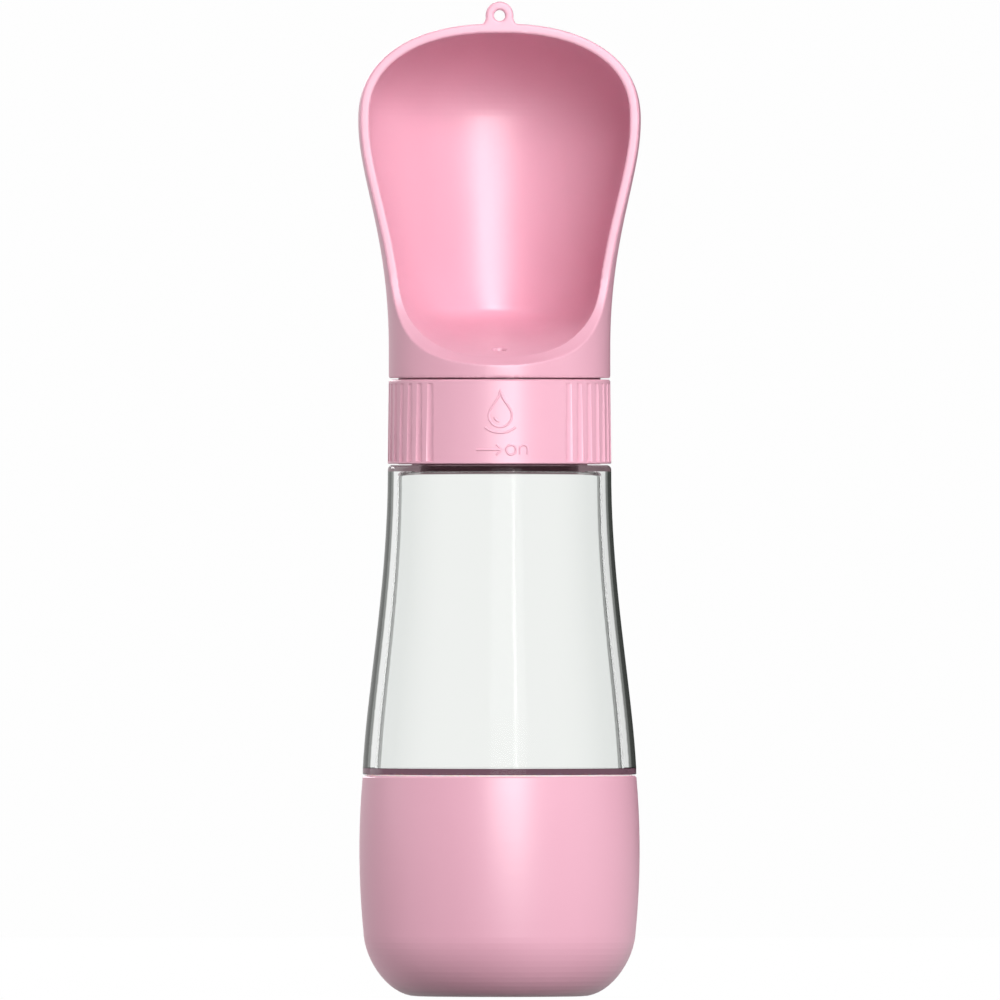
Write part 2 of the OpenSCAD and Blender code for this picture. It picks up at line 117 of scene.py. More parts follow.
def across_at(handles: Curve, height: float) -> float:
    """First value of a curve that climbs in its second, found by halving.

    Args:
        handles: The curve's handles.
        height: The second value to look for.

    Returns:
        The first value at that height.
    """
    low, high = 0.0, 1.0
    for _ in range(40):
        middle = (low + high) / 2
        if bezier(handles, middle)[1] < height:
            low = middle
        else:
            high = middle
    return bezier(handles, low)[0]


def smooth(share: float) -> float:
    """Soft step from 0 to 1."""
    held = max(0.0, min(1.0, share))
    return held * held * (3 - 2 * held)


def round_off(share: float, power: float) -> float:
    """Height of a superellipse at a share of its half width."""
    return (1 - max(0.0, min(1.0, share)) ** power) ** (1 / power)


# --- Shader maths ---


class Value:
    """A shader socket that carries a number and takes Python's operators."""

    def __init__(self, shader: "Shader", socket: Socket) -> None:
        """Keeps the socket and the shader that it belongs to."""
        self.shader = shader
        self.socket = socket

    def _math(self, operation: str, *terms: Any) -> "Value":
        """Adds one Math node.

        Args:
            operation: The node's operation.
            terms: Its inputs in order.

        Returns:
            The node's result.
        """
        node = self.shader.add(
            "ShaderNodeMath", {"operation": operation}, dict(enumerate(terms))
        )
        return Value(self.shader, node.outputs[0])

    def __add__(self, other: Any) -> "Value":
        """Sum."""
        return self._math("ADD", self, other)

    __radd__ = __add__

    def __sub__(self, other: Any) -> "Value":
        """Difference."""
        return self._math("SUBTRACT", self, other)

    def __rsub__(self, other: Any) -> "Value":
        """Difference, from a plain number."""
        return self._math("SUBTRACT", other, self)

    def __mul__(self, other: Any) -> "Value":
        """Product."""
        return self._math("MULTIPLY", self, other)

    __rmul__ = __mul__

    def __truediv__(self, other: Any) -> "Value":
        """Quotient."""
        return self._math("DIVIDE", self, other)

    def __lt__(self, other: Any) -> "Value":
        """1 where this is less than the other."""
        return self._math("LESS_THAN", self, other)

    def root(self) -> "Value":
        """Square root."""
        return self._math("SQRT", self)

    def step(self, low: float, high: float) -> "Value":
        """Soft step.

        Args:
            low: The value that gives 0.
            high: The value that gives 1.

        Returns:
            A value from 0 to 1.
        """
        node = self.shader.add(
            "ShaderNodeMapRange",
            {"interpolation_type": "SMOOTHSTEP"},
            {"Value": self, "From Min": low, "From Max": high},
        )
        return Value(self.shader, node.outputs[0])

    def between(self, low: float, high: float, soft: float) -> "Value":
        """1 inside a span, with soft ends.

        Args:
            low: The span's lower end.
            high: Its upper end.
            soft: The width of each soft end.

        Returns:
            A value from 0 to 1.
        """
        return self.step(low - soft, low + soft) * (
            1 - self.step(high - soft, high + soft)
        )


class Shader:
    """The node tree of a material or a world, built node by node."""

    def __init__(self, owner: bpy.types.ID) -> None:
        """Empties the node tree of a material or a world."""
        self.owner = owner
        owner.use_nodes = True
        self.tree = owner.node_tree
        self.tree.nodes.clear()

    @classmethod
    def of(cls, name: str) -> "Shader":
        """Starts an empty material of that name."""
        return cls(bpy.data.materials.new(name))

    def add(
        self,
        kind: str,
        settings: Mapping[str, Any] | None = None,
        sockets: Mapping[str | int, Any] | None = None,
    ) -> Node:
        """Adds a node.

        Args:
            kind: The node's type.
            settings: Its settings, set first.
            sockets: Values or links by the name or number of the input.

        Returns:
            The node.
        """
        node = self.tree.nodes.new(kind)
        for name, value in (settings or {}).items():
            setattr(node, name, value)
        for key, value in (sockets or {}).items():
            self._feed(node.inputs[key], value)
        return node

    def _feed(self, socket: Socket, value: Any) -> None:
        """Links or sets one input.

        Args:
            socket: The input.
            value: A Value, a node, an output socket, a number or a tuple.
        """
        if isinstance(value, Value):
            self.tree.links.new(value.socket, socket)
        elif isinstance(value, Node):
            self.tree.links.new(value.outputs[0], socket)
        elif isinstance(value, Socket):
            self.tree.links.new(value, socket)
        elif socket.type == "RGBA" and len(value) == 3:
            socket.default_value = (*value, 1.0)
        else:
            socket.default_value = value

    def value(self, node: Node, output: str | int = 0) -> Value:
        """One output of a node, for sums."""
        return Value(self, node.outputs[output])

    def place(self) -> Socket:
        """The place on the piece, in its own coordinates."""
        return self.add("ShaderNodeTexCoord").outputs["Object"]

    def noise(
        self, size: float, detail: float, stretch: Point = (1.0, 1.0, 1.0)
    ) -> Value:
        """Soft noise over the piece.

        Args:
            size: The size of its spots in millimetres.
            detail: How many finer layers it has.
            stretch: How much closer together it runs along each axis.

        Returns:
            The noise, mostly from 0.3 to 0.7.
        """
        mapping = self.add(
            "ShaderNodeMapping", None, {"Vector": self.place(), "Scale": stretch}
        )
        node = self.add(
            "ShaderNodeTexNoise",
            None,
            {"Vector": mapping, "Scale": 1 / (size * MM), "Detail": detail},
        )
        return self.value(node)

    def blend(self, share: Any, first: Any, second: Any) -> Socket:
        """Mixes two colours.

        Args:
            share: How much of the second.
            first: The colour where the share is 0.
            second: The colour where it is 1.

        Returns:
            The mixed colour.
        """
        node = self.add(
            "ShaderNodeMix", {"data_type": "RGBA"}, {0: share, 6: first, 7: second}
        )
        return node.outputs[2]

    def bump(self, height: Value, strength: float, depth: float) -> Node:
        """Relief in the surface.

        Args:
            height: Where it stands high, from 0 to 1.
            strength: How strongly it shows.
            depth: How deep it is, in millimetres.

        Returns:
            The node, for a surface's Normal.
        """
        return self.add(
            "ShaderNodeBump",
            None,
            {"Height": height, "Strength": strength, "Distance": depth * MM},
        )

    def principled(self, sockets: Mapping[str, Any]) -> Node:
        """The surface shader, with the inputs that differ from plain."""
        return self.add("ShaderNodeBsdfPrincipled", None, sockets)

    def radius_and_height(self) -> tuple[Value, Value]:
        """Distance from the bottle's axis and height, in millimetres."""
        split = self.add("ShaderNodeSeparateXYZ", None, {0: self.place()})
        x, y, z = (self.value(split, i) for i in range(3))
        return (x * x + y * y).root() * (1 / MM), z * (1 / MM)

    def rays(self) -> tuple[Value, Value]:
        """Tells seen rays from reflected ones.

        Returns:
            1 for rays that the eye follows straight or through clear plastic, and
            1 for rays that are reflections.
        """
        path = self.add("ShaderNodeLightPath")
        seen = self.value(path, "Is Camera Ray") + self.value(
            path, "Is Transmission Ray"
        )
        return seen, self.value(path, "Is Glossy Ray") * (1 - seen)

    def end(self, surface: Node) -> Material:
        """Sends a shader to the surface output.

        Args:
            surface: The last shader node.

        Returns:
            The finished material.
        """
        self.add("ShaderNodeOutputMaterial", None, {"Surface": surface})
        return self.owner


# --- Finishes ---


@dataclass(frozen=True)
class SatinPlastic:
    """Moulded plastic with a satin surface from a finely sparked mould."""

    name: str
    colour: Colour = (0.79, 0.41, 0.52)
    flow_colour: Colour = (0.81, 0.43, 0.54)
    roughness: float = 0.36
    roughness_spread: float = 0.08
    grain_size: float = 0.35
    grain_depth: float = 0.006
    grain_strength: float = 0.35
    flow_size: float = 26.0
    flow_stretch: Point = (1.0, 1.0, 0.4)
    flow_at: Pair = (0.35, 0.65)
    patch_size: float = 3.0

    def material(self) -> Material:
        """Builds the finish.

        Returns:
            The material.
        """
        shader = Shader.of(self.name)
        flow = shader.noise(self.flow_size, 2.0, self.flow_stretch).step(*self.flow_at)
        patches = shader.noise(self.patch_size, 4.0)
        grain = shader.noise(self.grain_size, 2.0)
        surface = shader.principled(
            {
                "Base Color": shader.blend(flow, self.colour, self.flow_colour),
                "Roughness": (patches - 0.5) * self.roughness_spread + self.roughness,
                "IOR": 1.5,
                "Normal": shader.bump(grain, self.grain_strength, self.grain_depth),
            }
        )
        return shader.end(surface)


@dataclass(frozen=True)
class ClearPlastic:
    """Clear polished plastic, with painted shade where its walls are seen edge on and
    toward their sides.
    """

    name: str
    wall_middle: Callable[[Value], Value] | None = None
    shade_band: Pair | None = None
    shade_rim_r: float | None = None
    tint: Colour = (0.935, 0.945, 0.935)
    side_shade_tint: Colour = (0.86, 0.875, 0.865)
    edge_shade_tint: Colour = (0.06, 0.065, 0.06)
    painted_shade_tint: Colour = (0.20, 0.14, 0.155)
    edge_at: Pair = (0.655, 0.69)
    inner_edge_at: Pair = (0.745, 0.775)
    side_at: Pair = (0.1, 0.6)
    glancing_at: Pair = (0.46, 0.54)
    band_soft: float = 0.12
    rim_soft: float = 0.2
    gloss: float = 0.10
    edge_dulling: float = 0.6
    shadow_tint: Colour = (0.93, 0.93, 0.93)

    def material(self) -> Material:
        """Builds the finish.

        Returns:
            The material.
        """
        shader = Shader.of(self.name)
        weight = shader.add("ShaderNodeLayerWeight", None, {"Blend": 0.5})
        facing = shader.value(weight, "Facing")
        radius, height = shader.radius_and_height()
        # painted shade: the colour goes dark where a wall, or the inner face, is seen
        # edge on, in place of refraction's dark rims
        edge = facing.step(*self.edge_at)
        coat = facing.step(*self.glancing_at) * (1 - self.gloss) + self.gloss
        if self.wall_middle:
            inside = radius < self.wall_middle(height)
            inner_edge = facing.step(*self.inner_edge_at)
            edge = inside * inner_edge + (1 - inside) * edge
            geometry = shader.add("ShaderNodeNewGeometry")
            behind = shader.value(geometry, "Backfacing")
            coat = coat * (inside * behind + (1 - inside) * (1 - behind))
        coat = coat * (1 - edge * self.edge_dulling)
        # painted shade: the colour darkens gently as the walls turn away from the eye
        side = facing.step(*self.side_at)
        colour = shader.blend(side, self.tint, self.side_shade_tint)
        colour = shader.blend(edge, colour, self.edge_shade_tint)
        # painted shade: a dark band round the shoulder, standing in for the shade seen
        # through the shoulder's edge
        if self.shade_band:
            band = height.between(*self.shade_band, self.band_soft)
            colour = shader.blend(band, colour, self.painted_shade_tint)
        # painted shade: a dark rim round the plate's edge
        if self.shade_rim_r:
            rim = radius.step(self.shade_rim_r - self.rim_soft, self.shade_rim_r)
            colour = shader.blend(rim, colour, self.painted_shade_tint)
        ripple = shader.noise(9.0, 1.0, (1.0, 1.0, 0.25))
        surface = shader.principled(
            {
                "Base Color": colour,
                "Roughness": 0.0,
                "IOR": 1.02,
                "Transmission Weight": 1.0,
                "Coat Weight": coat,
                "Coat Roughness": 0.07,
                "Coat IOR": 1.49,
                "Normal": shader.bump(ripple, 0.15, 0.05),
            }
        )
        through = shader.add("ShaderNodeBsdfTransparent", None, {0: self.shadow_tint})
        path = shader.add("ShaderNodeLightPath")
        lit = shader.add(
            "ShaderNodeMixShader",
            None,
            {0: path.outputs["Is Shadow Ray"], 1: surface, 2: through},
        )
        return shader.end(lit)


@dataclass(frozen=True)
class Silicone:
    """Soft milky silicone."""

    name: str
    colour: Colour = (0.80, 0.78, 0.75)
    dust_colour: Colour = (0.72, 0.70, 0.67)

    def material(self) -> Material:
        """Builds the finish.

        Returns:
            The material.
        """
        shader = Shader.of(self.name)
        dust = shader.noise(0.8, 4.0).step(0.55, 0.75)
        surface = shader.principled(
            {
                "Base Color": shader.blend(dust, self.colour, self.dust_colour),
                "Roughness": dust * 0.15 + 0.5,
                "IOR": 1.41,
                "Subsurface Weight": 0.3,
                "Subsurface Scale": 0.4 * MM,
            }
        )
        return shader.end(surface)


@dataclass(frozen=True)
class BrushedSteel:
    """Stainless steel with fine turning marks round its axis."""

    name: str
    colour: Colour = (0.62, 0.63, 0.65)
    marks_per_mm: float = 9.0

    def material(self) -> Material:
        """Builds the finish.

        Returns:
            The material.
        """
        shader = Shader.of(self.name)
        radius, _ = shader.radius_and_height()
        rings = shader.add(
            "ShaderNodeTexNoise",
            {"noise_dimensions": "1D"},
            {"W": radius * self.marks_per_mm, "Scale": 1.0, "Detail": 3.0},
        )
        marks = shader.value(rings)
        surface = shader.principled(
            {
                "Base Color": self.colour,
                "Metallic": 1.0,
                "Roughness": marks * 0.25 + 0.2,
                "Normal": shader.bump(marks, 0.3, 0.02),
            }
        )
        return shader.end(surface)


@dataclass(frozen=True)
class PaleFloor:
    """Pale floor that is white to the eye and keeps the bottle's shadow."""

    name: str
    colour: Colour = (0.86, 0.86, 0.86)
    fleck_colour: Colour = (0.88, 0.88, 0.88)
    bounce_colour: Colour = (0.25, 0.25, 0.25)
    glow: float = 0.99
    gloss_glow: float = 0.6

    def material(self) -> Material:
        """Builds the finish.

        Returns:
            The material.
        """
        shader = Shader.of(self.name)
        seen, glossy = shader.rays()
        fleck = shader.noise(6.0, 3.0)
        held = shader.blend(fleck, self.colour, self.fleck_colour)
        matt = shader.add(
            "ShaderNodeBsdfDiffuse",
            None,
            {"Color": shader.blend(seen, self.bounce_colour, held)},
        )
        glow = shader.add("ShaderNodeEmission", None, {"Color": (1.0, 1.0, 1.0)})
        share = seen * self.glow + glossy * self.gloss_glow
        mixed = shader.add("ShaderNodeMixShader", None, {0: share, 1: matt, 2: glow})
        return shader.end(mixed)


# --- The workbench ---


class Workpiece:
    """A mesh on the bench, in millimetres until it is brought to the frame."""

    def __init__(self, name: str) -> None:
        """Takes the object that an operator has just added."""
        self.obj = bpy.context.active_object
        self.obj.name = name
        self.obj.data.name = name
        bpy.ops.object.transform_apply(location=True, rotation=True, scale=True)

    @staticmethod
    def clear() -> None:
        """Deselects everything."""
        bpy.ops.object.select_all(action="DESELECT")

    def hold(self) -> None:
        """Makes this the only selected object, and the active one."""
        self.clear()
        self.obj.select_set(True)
        bpy.context.view_layer.objects.active = self.obj

    @contextmanager
    def editing(self) -> Iterator[None]:
        """Edit mode on this mesh."""
        self.hold()
        bpy.ops.object.mode_set(mode="EDIT")
        bpy.ops.mesh.select_mode(type="VERT")
        try:
            yield
        finally:
            bpy.ops.object.mode_set(mode="OBJECT")

    def pick(self, rule: Callable[[Vector], bool]) -> None:
        """Selects vertices by their place, in edit mode.

        Args:
            rule: Says whether a place is wanted.
        """
        mesh = bmesh.from_edit_mesh(self.obj.data)
        for vert in mesh.verts:
            vert.select_set(False)
        for vert in mesh.verts:
            if rule(vert.co):
                vert.select_set(True)
        mesh.select_flush_mode()
        bmesh.update_edit_mesh(self.obj.data)

    def pick_near(self, places: Sequence[Point]) -> None:
        """Selects the vertices at some places, in edit mode."""
        spots = [Vector(place) for place in places]
        self.pick(lambda co: any((co - spot).length < TOUCH for spot in spots))

    @staticmethod
    def extrude(shift: Point) -> None:
        """Extrudes what is selected, in edit mode."""
        bpy.ops.mesh.extrude_region_move(TRANSFORM_OT_translate={"value": shift})

    def thicken(self, shift: Point) -> "Workpiece":
        """Extrudes a flat face to a closed form and turns its faces outwards."""
        with self.editing():
            bpy.ops.mesh.select_all(action="SELECT")
            self.extrude(shift)
        return self.face_out()

    def modify(self, kind: str, **settings: Any) -> "Workpiece":
        """Adds a modifier and applies it.

        Args:
            kind: The modifier's type.
            settings: Its settings.

        Returns:
            This piece.
        """
        self.hold()
        bpy.ops.object.modifier_add(type=kind)
        modifier = self.obj.modifiers[-1]
        for name, value in settings.items():
            setattr(modifier, name, value)
        bpy.ops.object.modifier_apply(modifier=modifier.name)
        return self

    def combine(self, other: "Workpiece", operation: str) -> "Workpiece":
        """Adds or cuts another piece, and uses it up.

        Args:
            other: The other piece.
            operation: UNION, DIFFERENCE or INTERSECT.

        Returns:
            This piece.
        """
        self.modify("BOOLEAN", object=other.obj, operation=operation, solver="EXACT")
        bpy.data.objects.remove(other.obj, do_unlink=True)
        return self

    def move_points(self, law: Callable[[Vector], Vector]) -> None:
        """Gives each point a new place.

        Args:
            law: From the old place to the new one.
        """
        for vert in self.obj.data.vertices:
            vert.co = law(vert.co)
        self.obj.data.update()

    def face_out(self) -> "Workpiece":
        """Merges doubles and turns every face outwards."""
        with self.editing():
            bpy.ops.mesh.select_all(action="SELECT")
            bpy.ops.mesh.remove_doubles(threshold=MERGE)
            bpy.ops.mesh.normals_make_consistent(inside=False)
        return self

    def to_frame(
        self, body: Body, slot: Slot, finish: Material, angle: float
    ) -> Thing:
        """Scales the piece to metres, dresses it and lets it ride.

        Args:
            body: The unit that it moves with.
            slot: The record's slot of its finish; not used.
            finish: Its material.
            angle: Edges sharper than this stay sharp, in degrees.

        Returns:
            The finished object.
        """
        with self.editing():
            bpy.ops.mesh.select_all(action="SELECT")
            bpy.ops.transform.resize(value=(MM, MM, MM), center_override=(0, 0, 0))
        self.hold()
        bpy.ops.object.shade_smooth_by_angle(angle=math.radians(angle))
        self.obj.data.materials.clear()
        self.obj.data.materials.append(finish)
        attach(self.obj, body.value)
        LOG.info(
            "%s: %d faces, rides on %s",
            self.obj.name,
            len(self.obj.data.polygons),
            body.value,
        )
        return self.obj


def add_cylinder(name: str, radius: float, low: float, high: float) -> Workpiece:
    """Adds an upright round cutter or boss.

    Args:
        name: The piece's name.
        radius: Its radius.
        low: Its lower end.
        high: Its upper end.

    Returns:
        The piece.
    """
    Workpiece.clear()
    bpy.ops.mesh.primitive_cylinder_add(
        vertices=128,
        radius=radius,
        depth=high - low,
        location=(0, 0, (low + high) / 2),
    )
    return Workpiece(name)


def draw_outline(name: str, points: Sequence[Point]) -> Workpiece:
    """Draws a flat closed outline point by point and fills it.

    Args:
        name: The piece's name.
        points: Its corners in order.

    Returns:
        The piece, one flat face.
    """
    Workpiece.clear()
    bpy.ops.mesh.primitive_plane_add(size=1.0, location=(0, 0, 0))
    piece = Workpiece(name)
    with piece.editing():
        bpy.ops.mesh.select_all(action="SELECT")
        bpy.ops.mesh.merge(type="CENTER")
        bpy.ops.transform.translate(value=points[0])
        for last, point in zip(points, points[1:]):
            step = tuple(b - a for a, b in zip(last, point))
            piece.extrude(step)
        piece.pick_near((points[0], points[-1]))
        bpy.ops.mesh.edge_face_add()
        bpy.ops.mesh.select_all(action="SELECT")
        bpy.ops.mesh.edge_face_add()
    return piece


# --- Sub-assemblies ---


@dataclass(frozen=True)
class Level:
    """A level section: round in front, and drawn out or in to the back."""

    half_w: float
    middle: float
    back: float
    height: float


@dataclass
class Trough:
    """The scoop that the dog drinks from, with its skirt and lanyard eye."""

    finish: Material
    foot: float = 154.8
    high: float = 88.7
    skirt_r: float = 27.75
    skirt_bore_r: float = 25.45
    half_w: float = 35.4
    wide_h: float = 64.4
    straight_h: float = 7.8
    flare_foot: float = 28.2
    flare_top: float = 14.4
    back_bulge: float = 1.75
    crown_power: float = 2.3
    back_power: float = 2.2
    rim_front: float = 8.9
    lip_h: float = 3.2
    lip_rise: float = 1.6
    rim_upright_h: float = 26.0
    wide_set: float = 3.0
    wall: float = 2.0
    crown_wall: float = 2.4
    side_swell: float = 0.01
    mouth_h: float = 25.0
    mouth_power: float = 2.4
    mouth_set: float = 25.0
    mouth_sweep: float = 1.7
    swell_foot: float = 12.0
    swell_rise: float = 12.0
    bend_h: float = 18.0
    floor_front: Pair = (4.0, 13.0)
    floor_back_h: float = 12.5
    floor_from: float = 0.3
    floor_crowd: float = 1.3
    rim_lip_reach: float = 9.0
    rim_lip_rise: float = 3.2
    rim_upright_reach: float = 11.0
    crown_end: float = 0.2
    flare_steps: int = 26
    hollow_steps: int = 24
    crown_steps: int = 22
    floor_steps: int = 40
    rim_steps: int = 48
    roof_steps: int = 36
    roof_foot: float = 0.9
    under_drop: float = 2.2
    under_back: float = 1.6
    outlet_r: float = 1.75
    outlet_at: float = 16.0
    boss_r: float = 4.4
    boss_low: float = 3.6
    boss_t: float = 3.0
    eye_r: float = 3.5
    eye_hole_r: float = 1.4
    eye_t: float = 3.0
    eye_rise: float = 2.0
    eye_root_spread: float = 0.75
    eye_sink: float = 0.6
    grain: float = 0.32
    triangles: int = 190000
    far: float = 60.0
    points: int = 144

    @property
    def flare(self) -> Curve:
        """Half width against height, from the skirt to the widest place."""
        return (
            (self.skirt_r, self.straight_h),
            (self.skirt_r, self.straight_h + self.flare_foot),
            (self.half_w, self.wide_h - self.flare_top),
            (self.half_w, self.wide_h),
        )

    @property
    def floor_line(self) -> Curve:
        """Side view of the floor, from the lip up to the back."""
        back = self.level(self.bend_h, self.wall).back
        return (
            (-self.mouth_set, self.lip_h + self.lip_rise),
            self.floor_front,
            (back, self.floor_back_h),
            (back, self.bend_h),
        )

    @property
    def rim_line(self) -> Curve:
        """Side view of the rim, from the lip until it is upright."""
        return (
            (-self.skirt_r, self.lip_h),
            (self.rim_lip_reach - self.skirt_r, self.lip_h + self.rim_lip_rise),
            (-self.rim_front, self.rim_upright_h - self.rim_upright_reach),
            (-self.rim_front, self.rim_upright_h),
        )

    def crown_rise(self, wall: float) -> float:
        """Height of the crown above the widest place, inside a wall."""
        return self.high - self.wide_h - wall * self.crown_wall / self.wall

    def level(self, height: float, wall: float) -> Level:
        """Section of the outside, or of the hollow inside a wall.

        Args:
            height: Height above the skirt's edge.
            wall: How far inside the outer face it lies.

        Returns:
            The section.
        """
        crown = (height - self.wide_h) / self.crown_rise(wall)
        if height <= self.straight_h:
            half = self.skirt_r - wall
        elif height <= self.wide_h:
            half = across_at(self.flare, height) - wall
        else:
            half = (self.half_w - wall) * round_off(crown, self.crown_power)
        flared = smooth((height - self.straight_h) / (self.wide_h - self.straight_h))
        back = self.skirt_r - wall + self.back_bulge * flared
        if height > self.wide_h:
            reach = (back + self.rim_front) * round_off(crown, self.back_power)
            back = reach - self.rim_front
        forward = (self.rim_front - self.wide_set) * smooth(crown)
        middle = -self.wide_set * flared - forward
        return Level(half, middle, back, height)

    def crown_heights(self, wall: float) -> list[float]:
        """Heights of the crown's sections, closer together near its top."""
        end = self.crown_steps + self.crown_end
        return [
            self.wide_h + self.crown_rise(wall) * math.sin(math.pi / 2 * i / end)
            for i in range(1, self.crown_steps + 1)
        ]

    def outer_levels(self) -> list[Level]:
        """Sections of the outside, from below the skirt up."""
        span = self.wide_h - self.straight_h
        heights = [0.0, self.straight_h]
        steps = self.flare_steps
        heights += [self.straight_h + span * i / steps for i in range(1, steps + 1)]
        heights += self.crown_heights(0)
        return [self.level(h, 0) for h in heights]

    def hollow_levels(self) -> list[Level]:
        """Sections of the hollow, from the lip's floor up."""
        end = self.floor_steps + self.floor_from
        shares = [(i + self.floor_from) / end for i in range(self.floor_steps + 1)]
        side = [bezier(self.floor_line, share**self.floor_crowd) for share in shares]
        span, steps = self.wide_h - self.bend_h, self.hollow_steps
        heights = [self.bend_h + span * i / steps for i in range(1, steps + 1)]
        heights += self.crown_heights(self.wall)
        side += [(self.level(h, self.wall).back, h) for h in heights]
        return [self.mouth_level(back, height) for back, height in side]

    def mouth_level(self, back: float, height: float) -> Level:
        """Section of the hollow, narrowed where the floor's mouth opens.

        Args:
            back: How far back the section reaches.
            height: Its height.

        Returns:
            The section.
        """
        mouth = (height - self.lip_h - self.lip_rise) / self.mouth_h
        closed = 1 - max(0.0, min(1.0, mouth))
        plain = self.level(height, self.wall)
        share = smooth((height - self.swell_foot) / self.swell_rise)
        swell = self.side_swell * share
        half = plain.half_w * round_off(closed, self.mouth_power) * (1 - swell)
        middle = min(plain.middle, -self.mouth_set * closed**self.mouth_sweep)
        return Level(half, middle, back, height)

    def loft(self, name: str, levels: Sequence[Level]) -> Workpiece:
        """Pulls a closed form up through its sections.

        Args:
            name: The piece's name.
            levels: The sections, from the lowest up.

        Returns:
            The piece.
        """
        Workpiece.clear()
        bpy.ops.mesh.primitive_circle_add(
            vertices=self.points, radius=1.0, fill_type="NGON", location=(0, 0, 0)
        )
        piece = Workpiece(name)
        last = Level(1.0, 0.0, 1.0, 0.0)
        with piece.editing():
            bpy.ops.mesh.select_all(action="SELECT")
            for level in levels:
                shift = (0, level.middle - last.middle, level.height - last.height)
                if level is levels[0]:
                    bpy.ops.transform.translate(value=shift)
                else:
                    piece.extrude(shift)
                self._shape_ring(piece, last, level)
                last = level
        return piece.face_out()

    @staticmethod
    def _shape_ring(piece: Workpiece, last: Level, level: Level) -> None:
        """Scales the top ring from one section's form to the next one's.

        Args:
            piece: The piece in edit mode.
            last: The section whose form the ring has.
            level: The section that it gets.
        """
        wide = level.half_w / last.half_w
        deep = (level.back - level.middle) / (last.back - last.middle)
        centre = (0, level.middle, level.height)

        def ring(co: Vector) -> bool:
            """Whether a point is on the section's level."""
            return abs(co.z - level.height) < ON_LEVEL

        bpy.ops.transform.resize(value=(wide, wide, 1), center_override=centre)
        piece.pick(lambda co: ring(co) and co.y > level.middle + TOUCH)
        bpy.ops.transform.resize(value=(1, deep / wide, 1), center_override=centre)
        piece.pick(ring)

    def side_cutter(self, name: str, outline: Curve) -> Workpiece:
        """Carries a side view right across the trough.

        Args:
            name: The piece's name.
            outline: Points forward-back and up.

        Returns:
            The piece.
        """
        points = [(-self.far, y, z) for y, z in outline]
        return draw_outline(name, points).thicken((2 * self.far, 0, 0))

    def before_rim(self) -> Workpiece:
        """What lies in front of the rim."""
        steps = self.rim_steps
        edge = [bezier(self.rim_line, i / steps) for i in range(steps + 1)]
        outline = [
            (-self.far, self.lip_h),
            *edge,
            (-self.rim_front, 2 * self.far),
            (-self.far, 2 * self.far),
        ]
        return self.side_cutter("before_rim", outline)

    def under_floor(self) -> Workpiece:
        """The space under the floor, inside the skirt."""
        steps = self.roof_steps
        floor = [bezier(self.floor_line, i / steps) for i in range(steps + 1)]
        roof = [(y + self.under_back, z - self.under_drop) for y, z in floor]
        outline = [
            (-self.far, -self.far),
            (-self.far, self.roof_foot),
            (-self.skirt_bore_r, self.roof_foot),
            *roof,
            (self.far, self.bend_h - self.under_drop),
            (self.far, -self.far),
        ]
        column = add_cylinder("skirt_bore", self.skirt_bore_r, -1, self.bend_h)
        return column.combine(self.side_cutter("under_roof", outline), "INTERSECT")

    def eye(self) -> Workpiece:
        """The lanyard eye: a rounded lug with a hole, on top of the crown."""
        middle = self.high + self.eye_rise
        front = -self.rim_front
        root = self.eye_r + self.eye_root_spread
        foot = self.high - self.eye_sink
        arc = [
            (
                self.eye_r * math.cos(math.radians(a)),
                front,
                middle + self.eye_r * math.sin(math.radians(a)),
            )
            for a in range(-12, 193, 6)
        ]
        outline = [(-root, front, foot), (root, front, foot), *arc]
        piece = draw_outline("eye", outline).thicken((0, self.eye_t, 0))
        Workpiece.clear()
        bpy.ops.mesh.primitive_cylinder_add(
            vertices=64,
            radius=self.eye_hole_r,
            depth=4 * self.eye_t,
            location=(0, front + self.eye_t / 2, middle),
            rotation=(math.pi / 2, 0, 0),
        )
        return piece.combine(Workpiece("eye_hole"), "DIFFERENCE")

    def build(self) -> Thing:
        """Builds the trough in one smooth moulding.

        Returns:
            The finished piece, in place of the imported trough.
        """
        body = self.loft("trough_moulding", self.outer_levels())
        body.combine(self.under_floor(), "DIFFERENCE")
        boss = add_cylinder(
            "boss", self.boss_r, self.boss_low, self.boss_low + self.boss_t
        )
        boss.move_points(lambda co: co + Vector((0, -self.outlet_at, 0)))
        body.combine(boss, "UNION")
        body.combine(self.loft("hollow", self.hollow_levels()), "DIFFERENCE")
        body.combine(self.before_rim(), "DIFFERENCE")
        outlet = add_cylinder("outlet", self.outlet_r, -1, self.bend_h)
        outlet.move_points(lambda co: co + Vector((0, -self.outlet_at, 0)))
        body.combine(outlet, "DIFFERENCE")
        body.combine(self.eye(), "UNION")
        body.modify("REMESH", mode="VOXEL", voxel_size=self.grain)
        body.modify("SMOOTH", factor=0.5, iterations=2)
        body.modify("TRIANGULATE")
        share = self.triangles / len(body.obj.data.polygons)
        if share < 1:
            body.modify("DECIMATE", ratio=share)
        body.move_points(lambda co: co + Vector((0, 0, self.foot)))
        piece = body.to_frame(Body.HEAD, Slot.PINK, self.finish, 180.0)
        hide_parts("trough")
        return piece


